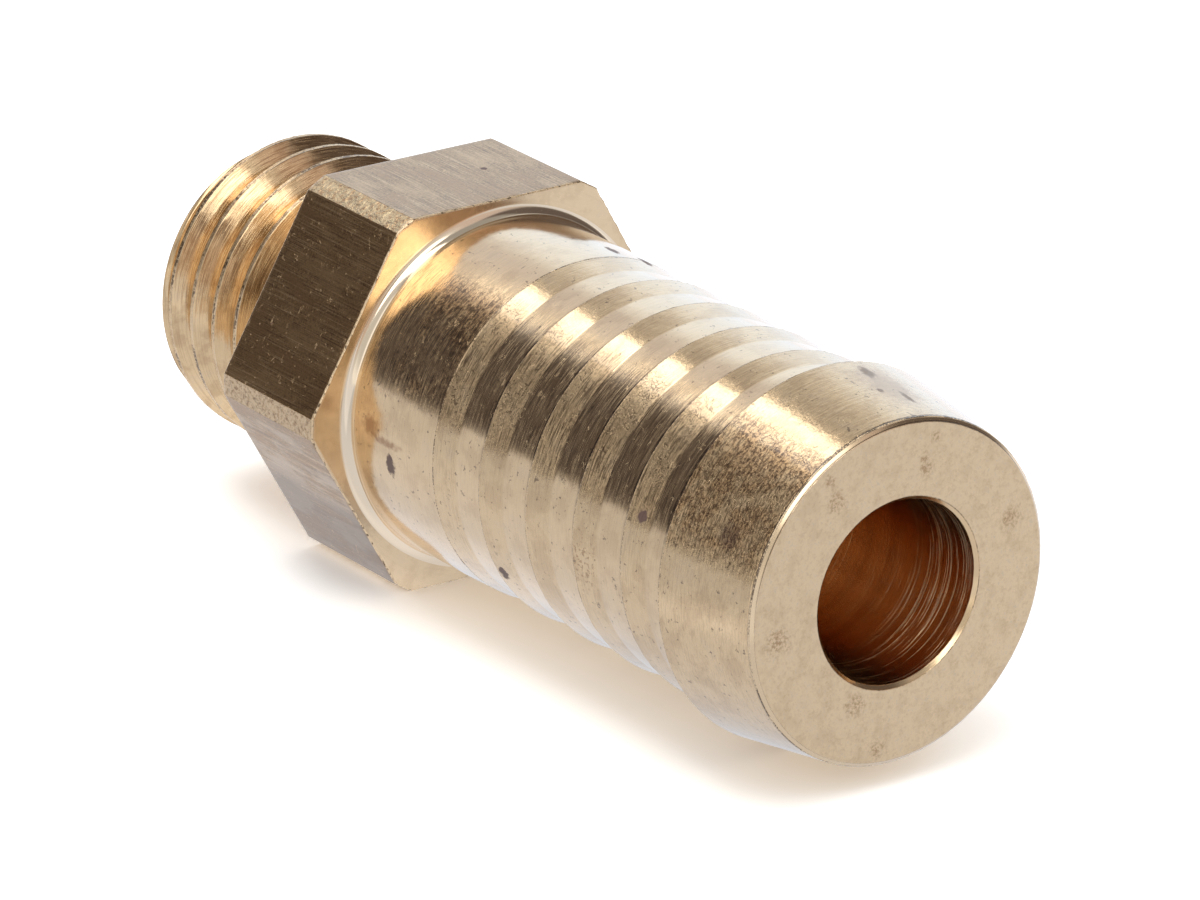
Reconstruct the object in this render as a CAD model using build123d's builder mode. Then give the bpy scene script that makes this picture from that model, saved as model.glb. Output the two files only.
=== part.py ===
from build123d import *
import os
from math import radians, sqrt, tan

# Brass hose adapter: a barbed hose tail, a hexagon and a male thread, turned from one bar.
# Millimetres. The axis lies along X and the hose end points to +X.
# The origin is on the axis, in the plane of the shoulder between the hexagon and the thread.
# The adapter lies on one flat of its hexagon, so two of the flats face straight up and down.

# Hexagon, with its corners turned off a little way out from the flats
hex_across_flats = 15.0
hex_length = 6.0
hex_corner_height = 0.925

# Hose tail, with its lengths measured back from the hose end; heights are steps in radius
tail_length = 24.9
shoulder_height = 0.7
shank_height = 0.05
shank_fillet = 0.4
nose_length = 4.65
nose_height = 0.65
nose_taper_height = 0.675
nose_edge_chamfer = 0.15

# Barbs: each is a short cone with a sharp step towards the hexagon
barb_count = 5
barb_pitch = 2.95
barb_height = 0.175
barb_land_length = 1.25

# Male thread M12 x 1.5, with a lead-in at its end and a relief against the shoulder
thread_diameter = 12.0
thread_pitch = 1.5
thread_length = 9.0
thread_lead_in_height = 0.7
thread_lead_in_length = 0.85
relief_depth = 0.18
relief_length = 2.2
relief_slope_length = 0.6

# Bore, straight through
bore_diameter = 7.0
bore_mouth_chamfer = 0.15

# Form of the thread: flanks at 60 degrees to each other and a narrow flat on the crest
thread_flank_angle = 30.0
thread_depth = 17 / 24 * thread_pitch * sqrt(3) / 2
thread_crest_flat = thread_pitch / 8

# Diameters, each stepped from the one beside it
hex_corner_diameter = hex_across_flats + 2 * hex_corner_height
shank_diameter = hex_across_flats - 2 * shoulder_height
barb_diameter = shank_diameter - 2 * shank_height
barb_root_diameter = barb_diameter - 2 * barb_height
nose_diameter = barb_root_diameter + 2 * nose_height
nose_end_diameter = nose_diameter - 2 * nose_taper_height
thread_core_diameter = thread_diameter - 2 * thread_depth
thread_end_diameter = thread_diameter - 2 * thread_lead_in_height
relief_diameter = thread_core_diameter - 2 * relief_depth

# The ridge starts outside the thread's end, reaches into the core and is cut to its envelope
ridge_lead_turns = 1.22
ridge_embedding = 0.1
envelope_margin = 0.5

# Places along the axis
hose_end_x = hex_length + tail_length
nose_step_x = hose_end_x - nose_length
shank_end_x = nose_step_x - barb_count * barb_pitch
thread_end_x = -thread_length
ridge_start_x = thread_end_x - ridge_lead_turns * thread_pitch


def ridge_section():
    """Section of the thread ridge: along the axis, and outwards from the thread's core."""
    half_crest = thread_crest_flat / 2
    half_foot = half_crest + (thread_depth + ridge_embedding) * tan(radians(thread_flank_angle))
    return [
        (-half_foot, -ridge_embedding),
        (half_foot, -ridge_embedding),
        (half_crest, thread_depth),
        (-half_crest, thread_depth),
    ]


def envelope_section():
    """Half section of the turned blank under the thread, left open above the crests."""
    crest_radius = thread_diameter / 2
    outer_radius = crest_radius + envelope_margin
    end_radius = thread_end_diameter / 2
    relief_radius = relief_diameter / 2
    lead_in_run = thread_lead_in_length / (crest_radius - end_radius)
    relief_run = relief_slope_length / (crest_radius - relief_radius)
    return [
        (thread_end_x, 0),
        (thread_end_x, end_radius),
        (thread_end_x + lead_in_run * (outer_radius - end_radius), outer_radius),
        (-relief_length - relief_run * (outer_radius - relief_radius), outer_radius),
        (-relief_length, relief_radius),
        (-relief_length, 0),
    ]


def core_section():
    """Half section of the thread's core and of the relief against the shoulder."""
    return [
        (thread_end_x, 0),
        (thread_end_x, thread_core_diameter / 2),
        (-relief_length - relief_slope_length, thread_core_diameter / 2),
        (-relief_length, relief_diameter / 2),
        (0, relief_diameter / 2),
        (0, 0),
    ]


def barb_section(index):
    """Half section of one barb, counted from the nose towards the hexagon."""
    crest_x = nose_step_x - (index + 1) * barb_pitch
    return [
        (crest_x, 0),
        (crest_x, barb_diameter / 2),
        (crest_x + barb_land_length, barb_root_diameter / 2),
        (crest_x + barb_land_length, 0),
    ]


def nose_section():
    """Half section of the nose: a cone that is widest where it holds the hose."""
    return [
        (nose_step_x, 0),
        (nose_step_x, nose_diameter / 2),
        (hose_end_x, nose_end_diameter / 2),
        (hose_end_x, 0),
    ]


def circles_of(part, diameter):
    """The circular edges of one diameter."""
    circles = part.edges().filter_by(GeomType.CIRCLE)
    return circles.filter_by(lambda edge: abs(2 * edge.radius - diameter) < 1e-3)


# Thread ridge: one tooth swept round the core and cut to the turned blank
with BuildPart() as thread_ridge:
    with BuildLine():
        ridge_path = Helix(
            pitch=thread_pitch,
            height=-ridge_start_x,
            radius=thread_core_diameter / 2,
            center=(ridge_start_x, 0, 0),
            direction=(1, 0, 0),
        )
    ridge_start = ridge_path @ 0
    axis_direction = Vector(1, 0, 0)
    outwards = Vector(0, ridge_start.Y, ridge_start.Z).normalized()
    ridge_plane = Plane(ridge_start, x_dir=axis_direction, z_dir=axis_direction.cross(outwards))
    with BuildSketch(ridge_plane):
        Polygon(*ridge_section(), align=None)
    sweep(is_frenet=True)

    with BuildSketch(Plane.XZ):
        Polygon(*envelope_section(), align=None)
    revolve(axis=Axis.X, mode=Mode.INTERSECT)

with BuildPart() as adapter_body:
    # Hexagon: hexagonal bar with its corners turned off
    with BuildSketch(Plane.YZ):
        RegularPolygon(hex_across_flats / 2, side_count=6, major_radius=False)
        Circle(hex_corner_diameter / 2, mode=Mode.INTERSECT)
    extrude(amount=hex_length)

    # Hose tail: shank, root of the barbs, barbs and nose
    with BuildSketch(Plane.XZ):
        Rectangle(shank_end_x, shank_diameter / 2, align=Align.MIN)
        Rectangle(nose_step_x, barb_root_diameter / 2, align=Align.MIN)
        for index in range(barb_count):
            Polygon(*barb_section(index), align=None)
        Polygon(*nose_section(), align=None)
    revolve(axis=Axis.X)
    fillet(circles_of(adapter_body, shank_diameter).sort_by(Axis.X)[0], shank_fillet)
    chamfer(circles_of(adapter_body, nose_end_diameter).sort_by(Axis.X)[-1], nose_edge_chamfer)

    # Thread
    with BuildSketch(Plane.XZ):
        Polygon(*core_section(), align=None)
    revolve(axis=Axis.X)
    add(thread_ridge.part)

    # Bore, with both mouths broken
    with BuildSketch(Plane.YZ.offset(thread_end_x)):
        Circle(bore_diameter / 2)
    extrude(amount=thread_length + hose_end_x, mode=Mode.SUBTRACT)
    chamfer(circles_of(adapter_body, bore_diameter), bore_mouth_chamfer)

adapter_body.part.label = "adapter_body"
os.makedirs("parts", exist_ok=True)
export_step(adapter_body.part, "parts/adapter_body.step")
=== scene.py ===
import math

import bpy
import numpy as np
from mathutils import Matrix, Vector


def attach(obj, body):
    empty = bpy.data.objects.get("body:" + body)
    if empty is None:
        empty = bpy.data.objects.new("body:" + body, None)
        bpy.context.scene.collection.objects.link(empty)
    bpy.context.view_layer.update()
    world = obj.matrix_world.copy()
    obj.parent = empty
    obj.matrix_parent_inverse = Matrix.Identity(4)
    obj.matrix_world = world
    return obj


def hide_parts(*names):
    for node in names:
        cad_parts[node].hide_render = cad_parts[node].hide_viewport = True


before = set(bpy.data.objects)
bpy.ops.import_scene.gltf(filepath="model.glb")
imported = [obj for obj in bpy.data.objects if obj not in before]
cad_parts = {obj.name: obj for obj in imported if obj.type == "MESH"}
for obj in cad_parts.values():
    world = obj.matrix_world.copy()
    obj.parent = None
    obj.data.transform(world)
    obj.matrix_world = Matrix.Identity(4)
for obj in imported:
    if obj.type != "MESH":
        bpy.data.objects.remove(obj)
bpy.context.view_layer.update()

# Brass hose adapter lying on a white table under soft studio light.
# Sizes are in millimetres here and become metres where a mesh, lamp or camera is made.
# The axis lies along X, the hose end points to +X, and the origin is in the thread's shoulder.
# Angles round the axis start at +Y and turn towards +Z.

MM = 0.001

# Hexagon
HEX_APOTHEM = 7.5
HEX_CORNER_RADIUS = 8.4235
HEX_LENGTH = 6.0
HEX_EDGE_WIDTH = 0.05
HEX_EDGE_MIDDLE = 0.015

# Hose tail
HOSE_END_X = 30.9
NOSE_STEP_X = 26.25
NOSE_RADIUS = 7.225
NOSE_END_RADIUS = 6.55
NOSE_CHAMFER = 0.15
BARB_COUNT = 5
BARB_PITCH = 2.95
BARB_RADIUS = 6.75
BARB_ROOT_RADIUS = 6.575
BARB_LAND = 1.25
# Widths of the root beside the barbs' and the nose's steps that take painted shade
BARB_STEP_SHADE = 0.22
NOSE_STEP_SHADE = 0.80
SHANK_RADIUS = 6.8
SHANK_FILLET = 0.4
SHANK_SWELL_LENGTH = 2.0

# Thread
THREAD_RADIUS = 6.0
THREAD_PITCH = 1.5
THREAD_END_X = -9.0
THREAD_END_RADIUS = 5.3
LEAD_IN_LENGTH = 0.85
RELIEF_RADIUS = 4.9
RELIEF_X = -2.2
RELIEF_SLOPE = 0.6
RELIEF_FILLET = 0.05
HALF_FLANK_ANGLE = math.radians(30)
CORE_RADIUS = THREAD_RADIUS - 17 / 24 * THREAD_PITCH * math.sqrt(3) / 2
CREST_HALF_WIDTH = THREAD_PITCH / 16
CREST_HOLLOW = 0.02
ROOT_SOFTNESS = 0.03
HELIX_START_X = THREAD_END_X - 1.22 * THREAD_PITCH
HELIX_START_ANGLE = 90.0

# Bore
BORE_RADIUS = 3.5
BORE_CHAMFER = 0.15
BORE_MOUTH_LENGTH = 0.5

# Rounding and wear of the edges
EDGE_ROUNDING = 0.03
MOUTH_ROUNDING = 0.02
TAIL_EDGE_WEAR = 0.008
THREAD_EDGE_WEAR = 0.007
HEX_BURR = 0.03
HEX_BITE = 0.03

# Columns of the mesh: counts on one flat and one corner, and the gap in degrees at a long edge
FLAT_COLUMNS = 40
CORNER_COLUMNS = 5
LONG_EDGE_GAP = 0.12


# Noise for the mesh: sines whose turns and phases come from a seeded generator

def ragged(angles, seed, waves=40, slowest=6, fastest=150):
    """A rough curve round the axis, about -1 to 1, that closes on itself."""
    rng = np.random.default_rng(seed)
    turns = rng.integers(slowest, fastest, waves)
    phases = rng.uniform(0, 2 * math.pi, waves)
    total = sum(np.sin(t * angles + p) for t, p in zip(turns, phases))
    return total / math.sqrt(waves)


# Columns: angles round the axis, with close ones beside the long edges of the hexagon

def column_angles():
    """Angles for six corners and six flats, in order round the axis."""
    corner_half = 30.0 - math.degrees(math.acos(HEX_APOTHEM / HEX_CORNER_RADIUS))
    flat_start = corner_half + LONG_EDGE_GAP
    flat = np.linspace(flat_start, 60.0 - flat_start, FLAT_COLUMNS)
    strip_end = corner_half - LONG_EDGE_GAP
    strip = np.linspace(-strip_end, strip_end, CORNER_COLUMNS)
    sixth = np.concatenate([[-corner_half], strip, [corner_half], flat])
    turns = [sixth + 60.0 * k for k in range(6)]
    return np.radians(np.concatenate(turns) + HELIX_START_ANGLE + 30.0)


angles = column_angles()
column_count = len(angles)
from_flat = np.mod(angles - math.radians(60.0), math.radians(60.0)) - math.radians(30.0)
hexagon = np.minimum(HEX_APOTHEM / np.cos(from_flat), HEX_CORNER_RADIUS)
on_corner = hexagon > HEX_CORNER_RADIUS - 1e-6


class Skin:
    """Rows of points round the axis, in order along the section, with a region for each band."""

    def __init__(self):
        self.points = []
        self.faces = []
        self.regions = []
        self.edges = []
        self.last = None

    def point(self, x, radius, angle, edge):
        """Adds a point. The edge value says how much of a worn edge it lies on; a value below zero
        says how much painted shade under a step it takes.
        """
        self.points.append((x, radius * math.cos(angle), radius * math.sin(angle)))
        self.edges.append(edge)
        return len(self.points) - 1

    def row(self, x, radius, edge=0.0):
        """Adds one closed row. x and radius are numbers or one value for each column."""
        values = [np.broadcast_to(v, column_count) for v in (x, radius, angles, edge)]
        return [self.point(*column) for column in zip(*values)]

    def face(self, corners, region):
        """Adds a face unless its corners have run together."""
        kept = []
        for corner in corners:
            if corner not in kept:
                kept.append(corner)
        if len(kept) > 2:
            self.faces.append(kept)
            self.regions.append(region)

    def band(self, first, second, region):
        """Joins two rows. A region may be one name or one for each column."""
        for column in range(column_count):
            after = (column + 1) % column_count
            name = region if isinstance(region, str) else region[column]
            self.face([first[column], second[column], second[after], first[after]], name)

    def extend(self, region, x, radius, edge=0.0):
        """Adds a row and joins it to the one before."""
        row = self.row(x, radius, edge)
        if self.last is not None:
            self.band(self.last, row, region)
        self.last = row
        return row


def rounded_section(corners):
    """Section through corners (x, radius, rounding, edge, region) as rows with rounded corners.

    The region names the stretch that leads to the corner. A row a little beyond each end of a
    rounding holds the stretch beside it straight. Returns (x, radius, edge, region)."""
    beyond = 2.2
    rows = []
    for index, (x, radius, rounding, edge, region) in enumerate(corners):
        here = np.array([x, radius])
        if index == 0 or index == len(corners) - 1 or rounding == 0:
            rows.append((x, radius, edge, region))
            continue
        before = np.array(corners[index - 1][:2]) - here
        after = np.array(corners[index + 1][:2]) - here
        reach = min(rounding, 0.3 * np.linalg.norm(before), 0.3 * np.linalg.norm(after))
        before /= np.linalg.norm(before)
        after /= np.linalg.norm(after)
        rows.append((*(here + before * reach * beyond), 0.0, region))
        start = here + before * reach
        end = here + after * reach
        for step in np.linspace(0, 1, 4):
            curve = (1 - step) ** 2 * start + 2 * step * (1 - step) * here + step ** 2 * end
            rows.append((*curve, edge * (0.5 + 2 * step * (1 - step)), region))
        rows.append((*(here + after * reach * beyond), 0.0, corners[index + 1][4]))
    return rows


def spread(first, last, count):
    """Evenly spaced values between two, without the ends."""
    return np.linspace(first, last, count + 2)[1:-1]


def nose_radius(x):
    """Radius of the nose's cone at x."""
    taper = (NOSE_RADIUS - NOSE_END_RADIUS) / (HOSE_END_X - NOSE_STEP_X)
    return NOSE_RADIUS - (x - NOSE_STEP_X) * taper


def nose_corners():
    """Corners of the section from the bore's mouth at the hose end to the step behind the nose."""
    cone = math.hypot(HOSE_END_X - NOSE_STEP_X, NOSE_RADIUS - NOSE_END_RADIUS)
    along = NOSE_CHAMFER * (HOSE_END_X - NOSE_STEP_X) / cone
    outwards = NOSE_CHAMFER * (NOSE_RADIUS - NOSE_END_RADIUS) / cone
    mouth_radius = BORE_RADIUS + BORE_CHAMFER
    rim_radius = NOSE_END_RADIUS - NOSE_CHAMFER
    corners = [
        (HOSE_END_X - BORE_CHAMFER - BORE_MOUTH_LENGTH, BORE_RADIUS, 0, 0, "bore"),
        (HOSE_END_X - BORE_CHAMFER, BORE_RADIUS, MOUTH_ROUNDING, 0.6, "bore"),
        (HOSE_END_X, mouth_radius, MOUTH_ROUNDING, 0.6, "mouth"),
    ]
    for radius in spread(mouth_radius, rim_radius, 5):
        corners.append((HOSE_END_X, radius, 0, 0, "end_face"))
    corners.append((HOSE_END_X, rim_radius, MOUTH_ROUNDING, 1, "end_face"))
    corners.append((HOSE_END_X - along, NOSE_END_RADIUS + outwards, EDGE_ROUNDING, 1, "nose_edge"))
    for x in spread(HOSE_END_X, NOSE_STEP_X, 8):
        corners.append((x, nose_radius(x), 0, 0, "nose"))
    corners.append((NOSE_STEP_X, NOSE_RADIUS, EDGE_ROUNDING, 1, "nose"))
    return corners


def barb_corners(step_x, step_shade):
    """Corners from the foot of one step, along the root and up the cone to the next crest.

    An edge value below zero marks the corner under the step that takes painted shade."""
    crest_x = step_x - BARB_PITCH
    land_x = crest_x + BARB_LAND
    shade_x = step_x - step_shade
    corners = [
        (step_x, BARB_ROOT_RADIUS, EDGE_ROUNDING, -1, "step"),
        (shade_x, BARB_ROOT_RADIUS, 0, -0.8, "root"),
        (shade_x - 0.1, BARB_ROOT_RADIUS, 0, 0, "root"),
        (0.5 * (shade_x + land_x), BARB_ROOT_RADIUS, 0, 0, "root"),
        (land_x, BARB_ROOT_RADIUS, 0.05, 0.3, "root"),
    ]
    for part in spread(0, 1, 2):
        radius = BARB_ROOT_RADIUS + part * (BARB_RADIUS - BARB_ROOT_RADIUS)
        corners.append((land_x + part * (crest_x - land_x), radius, 0, 0, "land"))
    corners.append((crest_x, BARB_RADIUS, EDGE_ROUNDING, 1, "land"))
    return corners


def shank_corners(start_x):
    """Corners from the last crest along the shank and up its fillet to the hexagon."""
    corners = []
    for x in spread(start_x, HEX_LENGTH + SHANK_FILLET, 8):
        swell = min((start_x - x) / SHANK_SWELL_LENGTH, 1.0)
        corners.append((x, BARB_RADIUS + swell * (SHANK_RADIUS - BARB_RADIUS), 0, 0, "root"))
    for turn in np.linspace(0, math.pi / 2, 9):
        x = HEX_LENGTH + SHANK_FILLET * (1 - math.sin(turn))
        radius = SHANK_RADIUS + SHANK_FILLET * (1 - math.cos(turn))
        corners.append((x, radius, 0, 0, "fillet" if turn > 0 else "root"))
    return corners


def tail_corners():
    """Corners of the section from the bore's mouth at the hose end back to the hexagon."""
    corners = nose_corners()
    for barb in range(BARB_COUNT):
        # Width of the root beside this step that takes painted shade
        step_shade = NOSE_STEP_SHADE if barb == 0 else BARB_STEP_SHADE
        corners += barb_corners(NOSE_STEP_X - barb * BARB_PITCH, step_shade)
    return corners + shank_corners(NOSE_STEP_X - BARB_COUNT * BARB_PITCH)


def thread_profile(phase):
    """Radius of the full thread at a phase of -0.5 to 0.5 pitches from a crest."""
    away = np.abs(phase) * THREAD_PITCH
    flank = THREAD_RADIUS - (away - CREST_HALF_WIDTH) / math.tan(HALF_FLANK_ANGLE)
    from_middle = np.minimum(away / CREST_HALF_WIDTH, 1)
    crest = THREAD_RADIUS - CREST_HOLLOW * (1 - from_middle ** 2)
    above_core = ROOT_SOFTNESS * np.log1p(np.exp((flank - CORE_RADIUS) / ROOT_SOFTNESS))
    return np.where(away < CREST_HALF_WIDTH, crest, CORE_RADIUS + above_core)


def thread_blank(x):
    """Radius of the turned blank that limits the thread at x."""
    lead_in_rise = (THREAD_RADIUS - THREAD_END_RADIUS) / LEAD_IN_LENGTH
    relief_rise = (THREAD_RADIUS - RELIEF_RADIUS) / RELIEF_SLOPE
    lead_in = THREAD_END_RADIUS + (x - THREAD_END_X) * lead_in_rise
    relief = RELIEF_RADIUS + (RELIEF_X - x) * relief_rise
    return np.minimum(lead_in, relief)


def thread_radius(x, angle):
    """Radius of the finished thread at x and at an angle round the axis."""
    turn = np.mod(angle - math.radians(HELIX_START_ANGLE), 2 * math.pi) / (2 * math.pi)
    phase = np.mod((x - HELIX_START_X) / THREAD_PITCH - turn + 0.5, 1.0) - 0.5
    return np.minimum(thread_profile(phase), thread_blank(x))


# Rows of the thread, as parts of a pitch from the middle of one crest to the next
CREST_PHASE = CREST_HALF_WIDTH / THREAD_PITCH
FLANK_PHASE = (THREAD_RADIUS - CORE_RADIUS) * math.tan(HALF_FLANK_ANGLE) / THREAD_PITCH
ROOT_PHASE = CREST_PHASE + FLANK_PHASE
HALF_PITCH_ROWS = (
    0.75 * CREST_PHASE, CREST_PHASE, CREST_PHASE + 0.012,
    0.13, 0.19, 0.25, 0.31, 0.36,
    ROOT_PHASE - 0.02, ROOT_PHASE + 0.005, 0.46,
)
PITCH_ROWS = sorted([0.0, 0.5, *HALF_PITCH_ROWS, *(1 - phase for phase in HALF_PITCH_ROWS)])


def thread_stations():
    """Places of the thread's rows in pitches along the helix, whole on a crest, top first."""
    highest = (RELIEF_X - HELIX_START_X) / THREAD_PITCH + 0.1
    lowest = (THREAD_END_X - HELIX_START_X) / THREAD_PITCH - 1.1
    pitches = range(math.floor(lowest), math.ceil(highest) + 1)
    stations = [pitch + phase for pitch in pitches for phase in PITCH_ROWS]
    return sorted((s for s in stations if lowest < s < highest), reverse=True)


def add_thread(skin, top, bottom):
    """Rows that follow the helix, between top and bottom rows that lie square to the axis."""
    turns = np.mod((angles - math.radians(HELIX_START_ANGLE)) / (2 * math.pi), 1.0)
    chips = [ragged(angles, 900 + k) for k in range(9)]
    table = []
    for station in thread_stations():
        from_crest = abs((station + 0.5) % 1.0 - 0.5)
        near_crest = from_crest < 1.01 * CREST_PHASE
        crest_edge = 0.45 if from_crest > 0.1 * CREST_PHASE else 1.0
        chip = THREAD_EDGE_WEAR * chips[math.floor(station + 0.5) % len(chips)]
        line = []
        for column in range(column_count):
            x = HELIX_START_X + THREAD_PITCH * (turns[column] + station)
            if x > RELIEF_X - 0.01:
                line.append(top[column])
            elif x < THREAD_END_X + 0.01:
                line.append(bottom[column])
            else:
                radius = float(thread_radius(x, angles[column]))
                worn = near_crest and radius > THREAD_RADIUS - 0.05
                radius += chip[column] if worn else 0.0
                line.append(skin.point(x, radius, angles[column], crest_edge if worn else 0.0))
        table.append(line)

    # Each row meets the one a pitch above it where the helix has gone once round
    order = np.argsort(turns)
    first, last = order[0], order[-1]
    above = [top] * len(PITCH_ROWS) + table
    for index, (upper, lower) in enumerate(zip(table, table[1:])):
        for a, b in zip(order, order[1:]):
            skin.face([upper[a], lower[a], lower[b], upper[b]], "thread")
        corners = [upper[last], lower[last], above[index + 1][first], above[index][first]]
        skin.face(corners, "thread")


def add_tail(skin):
    """The outside, from a first row inside the bore's mouth to the foot of the hexagon."""
    rows = []
    for number, (x, radius, edge, region) in enumerate(rounded_section(tail_corners())):
        wear = TAIL_EDGE_WEAR * edge * ragged(angles, number) if edge > 0.5 else 0.0
        rows.append(skin.extend(region, x, radius + wear, edge))
    return rows[0]


def add_hexagon(skin):
    """The front face, the edges, the sides and the back face of the hexagon."""
    on_flat = ~on_corner | ~np.roll(on_corner, -1)
    sides = ["flat" if flat else "corner" for flat in on_flat]
    beside_flat = ~np.roll(on_corner, 1) | ~np.roll(on_corner, -1)
    long_edge = np.where(on_corner & beside_flat, 1.0, 0.0)

    front_foot = SHANK_RADIUS + SHANK_FILLET
    for part in (0.25, 0.5, 0.75, 0.92):
        radius = front_foot + part * (hexagon - HEX_EDGE_WIDTH - front_foot)
        skin.extend("front_face", HEX_LENGTH, radius)
    burr = HEX_BURR * ragged(angles, 71)
    bite = HEX_BITE * np.abs(ragged(angles, 72))
    for region, depth, inset, edge, bitten in (
            ("front_face", 0.0, HEX_EDGE_WIDTH, 0.4, 0.0),
            ("hex_edge", HEX_EDGE_MIDDLE, HEX_EDGE_MIDDLE, 1.0, 0.0),
            ("hex_edge", HEX_EDGE_WIDTH, 0.0, 0.4, 1.0)):
        radius = hexagon - inset + np.minimum(burr * edge, inset)
        skin.extend(region, HEX_LENGTH - depth - bitten * bite, radius, edge)
    for x in (5.8, 5.0, 4.0, 3.0, 2.0, 1.0, 0.2):
        skin.extend(sides, x, hexagon, 0.7 * long_edge)
    skin.extend(sides, HEX_EDGE_WIDTH, hexagon, 0.4)
    skin.extend("hex_edge", HEX_EDGE_MIDDLE, hexagon - HEX_EDGE_MIDDLE, 1.0)
    skin.extend("hex_edge", 0.0, hexagon - HEX_EDGE_WIDTH, 0.4)
    back_foot = RELIEF_RADIUS + RELIEF_FILLET
    for part in (0.08, 0.35, 0.65, 0.95):
        rim = hexagon - HEX_EDGE_WIDTH
        skin.extend("back_face", 0.0, rim + part * (back_foot - rim))


def add_thread_and_bore(skin, mouth):
    """The relief, the thread, its end face and the bore up to its mouth at the hose end."""
    skin.extend("thread", -0.3 * RELIEF_FILLET, RELIEF_RADIUS + 0.3 * RELIEF_FILLET)
    skin.extend("thread", -RELIEF_FILLET, RELIEF_RADIUS)
    skin.extend("thread", 0.5 * RELIEF_X, RELIEF_RADIUS)
    top = skin.extend("thread", RELIEF_X, RELIEF_RADIUS)
    end_radius = thread_radius(np.full(column_count, THREAD_END_X), angles)
    bottom = skin.row(THREAD_END_X, end_radius, 0.5)
    add_thread(skin, top, bottom)
    skin.last = bottom
    mouth_radius = BORE_RADIUS + BORE_CHAMFER
    for part in (0.04, 0.4, 0.8, 1.0):
        radius = end_radius + part * (mouth_radius - end_radius)
        skin.extend("back_face", THREAD_END_X, radius)
    bore_start = THREAD_END_X + BORE_CHAMFER
    bore_end = HOSE_END_X - BORE_CHAMFER - BORE_MOUTH_LENGTH
    skin.extend("mouth", bore_start, BORE_RADIUS)
    for x in (bore_start + 0.05, *spread(bore_start, bore_end, 16)):
        skin.extend("bore", x, BORE_RADIUS)
    skin.band(skin.last, mouth, "bore")


def build_adapter(materials):
    """One closed mesh, with a material for each region and the edge values for the wear and for the
    painted shade under the steps.
    """
    skin = Skin()
    mouth = add_tail(skin)
    add_hexagon(skin)
    add_thread_and_bore(skin, mouth)
    mesh = bpy.data.meshes.new("hose_adapter")
    mesh.from_pydata([tuple(MM * c for c in p) for p in skin.points], [], skin.faces)
    names = list(materials)
    for name in names:
        mesh.materials.append(materials[name])
    mesh.polygons.foreach_set("material_index", [names.index(r) for r in skin.regions])
    mesh.shade_smooth()
    wear = mesh.attributes.new("edge", "FLOAT", "POINT")
    wear.data.foreach_set("value", skin.edges)
    mesh.validate()
    adapter = bpy.data.objects.new("hose_adapter", mesh)
    bpy.context.collection.objects.link(adapter)
    return adapter


# Node graphs

class Graph:
    """Short calls that add and join the nodes of one material or world."""

    def __init__(self, tree):
        self.tree = tree

    def put(self, socket, value):
        """Joins another node's output to a socket, or sets the socket's own value."""
        if isinstance(value, bpy.types.NodeSocket):
            self.tree.links.new(value, socket)
        elif isinstance(value, tuple) and len(value) == 3 and socket.type == "RGBA":
            socket.default_value = (*value, 1.0)
        else:
            socket.default_value = value

    def add(self, kind, inputs=(), output=0, **settings):
        """Adds a node. The inputs are (name or number, value or socket) pairs."""
        node = self.tree.nodes.new(kind)
        for name, value in settings.items():
            setattr(node, name, value)
        for name, value in inputs:
            self.put(node.inputs[name], value)
        return node.outputs[output]

    def math(self, operation, *values):
        return self.add("ShaderNodeMath", list(enumerate(values)), operation=operation)

    def part(self, *factors):
        """The product of masks and strengths."""
        product = factors[0]
        for factor in factors[1:]:
            product = self.math("MULTIPLY", product, factor)
        return product

    def vector(self, operation, *values, output=0):
        inputs = list(enumerate(values))
        return self.add("ShaderNodeVectorMath", inputs, output, operation=operation)

    def combine(self, x, y, z):
        return self.add("ShaderNodeCombineXYZ", [(0, x), (1, y), (2, z)])

    def split(self, vector):
        return self.add("ShaderNodeSeparateXYZ", [(0, vector)]).node.outputs

    def ramp(self, value, start, end, low=0.0, high=1.0):
        """A smooth step from low at start to high at end. End may lie before start."""
        inputs = [("Value", value), ("From Min", start), ("From Max", end),
                  ("To Min", low), ("To Max", high)]
        return self.add("ShaderNodeMapRange", inputs, interpolation_type="SMOOTHSTEP")

    def mix(self, factor, first, second):
        """A blend of two numbers."""
        return self.add("ShaderNodeMix", [(0, factor), (2, first), (3, second)])

    def blend(self, factor, first, second):
        """A blend of two colours."""
        inputs = [(0, factor), (6, first), (7, second)]
        return self.add("ShaderNodeMix", inputs, 2, data_type="RGBA")

    def noise(self, vector, scale=1.0, detail=2.0, roughness=0.5, distortion=0.0):
        inputs = [("Vector", vector), ("Scale", scale), ("Detail", detail),
                  ("Roughness", roughness), ("Distortion", distortion)]
        return self.add("ShaderNodeTexNoise", inputs)


# Brass: colours of the bare metal, of its tarnish and of the stains on it, some also used for
# painted shade and a painted highlight

BARE = (0.84, 0.61, 0.355)
BROWN = (0.40, 0.235, 0.11)
UMBER = (0.11, 0.062, 0.032)
OLIVE = (0.50, 0.38, 0.22)
GREY = (0.60, 0.50, 0.40)
VIOLET = (0.07, 0.028, 0.028)
FACED = (0.86, 0.65, 0.41)
RUST = (0.34, 0.165, 0.055)
PATINA = (0.41, 0.25, 0.115)
DULL = (0.60, 0.39, 0.20)
SCORCHED = (0.56, 0.33, 0.15)
HAZE = (0.34, 0.30, 0.28)
# Darker brass for the drilled bore, as painted shade inside the hole
DRILLED_SHADED = (0.77, 0.55, 0.34)
# Paler brass for the fillet, a painted highlight
POLISHED_HIGHLIGHT = (0.93, 0.77, 0.57)

# The coat adds a second, softer gleam
COAT_ROUGHNESS = 0.12
COAT_IOR = 1.5

# The side of the tail that has been handled and scratched most, as an angle round the axis
HANDLED_SIDE = 141.0


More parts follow.
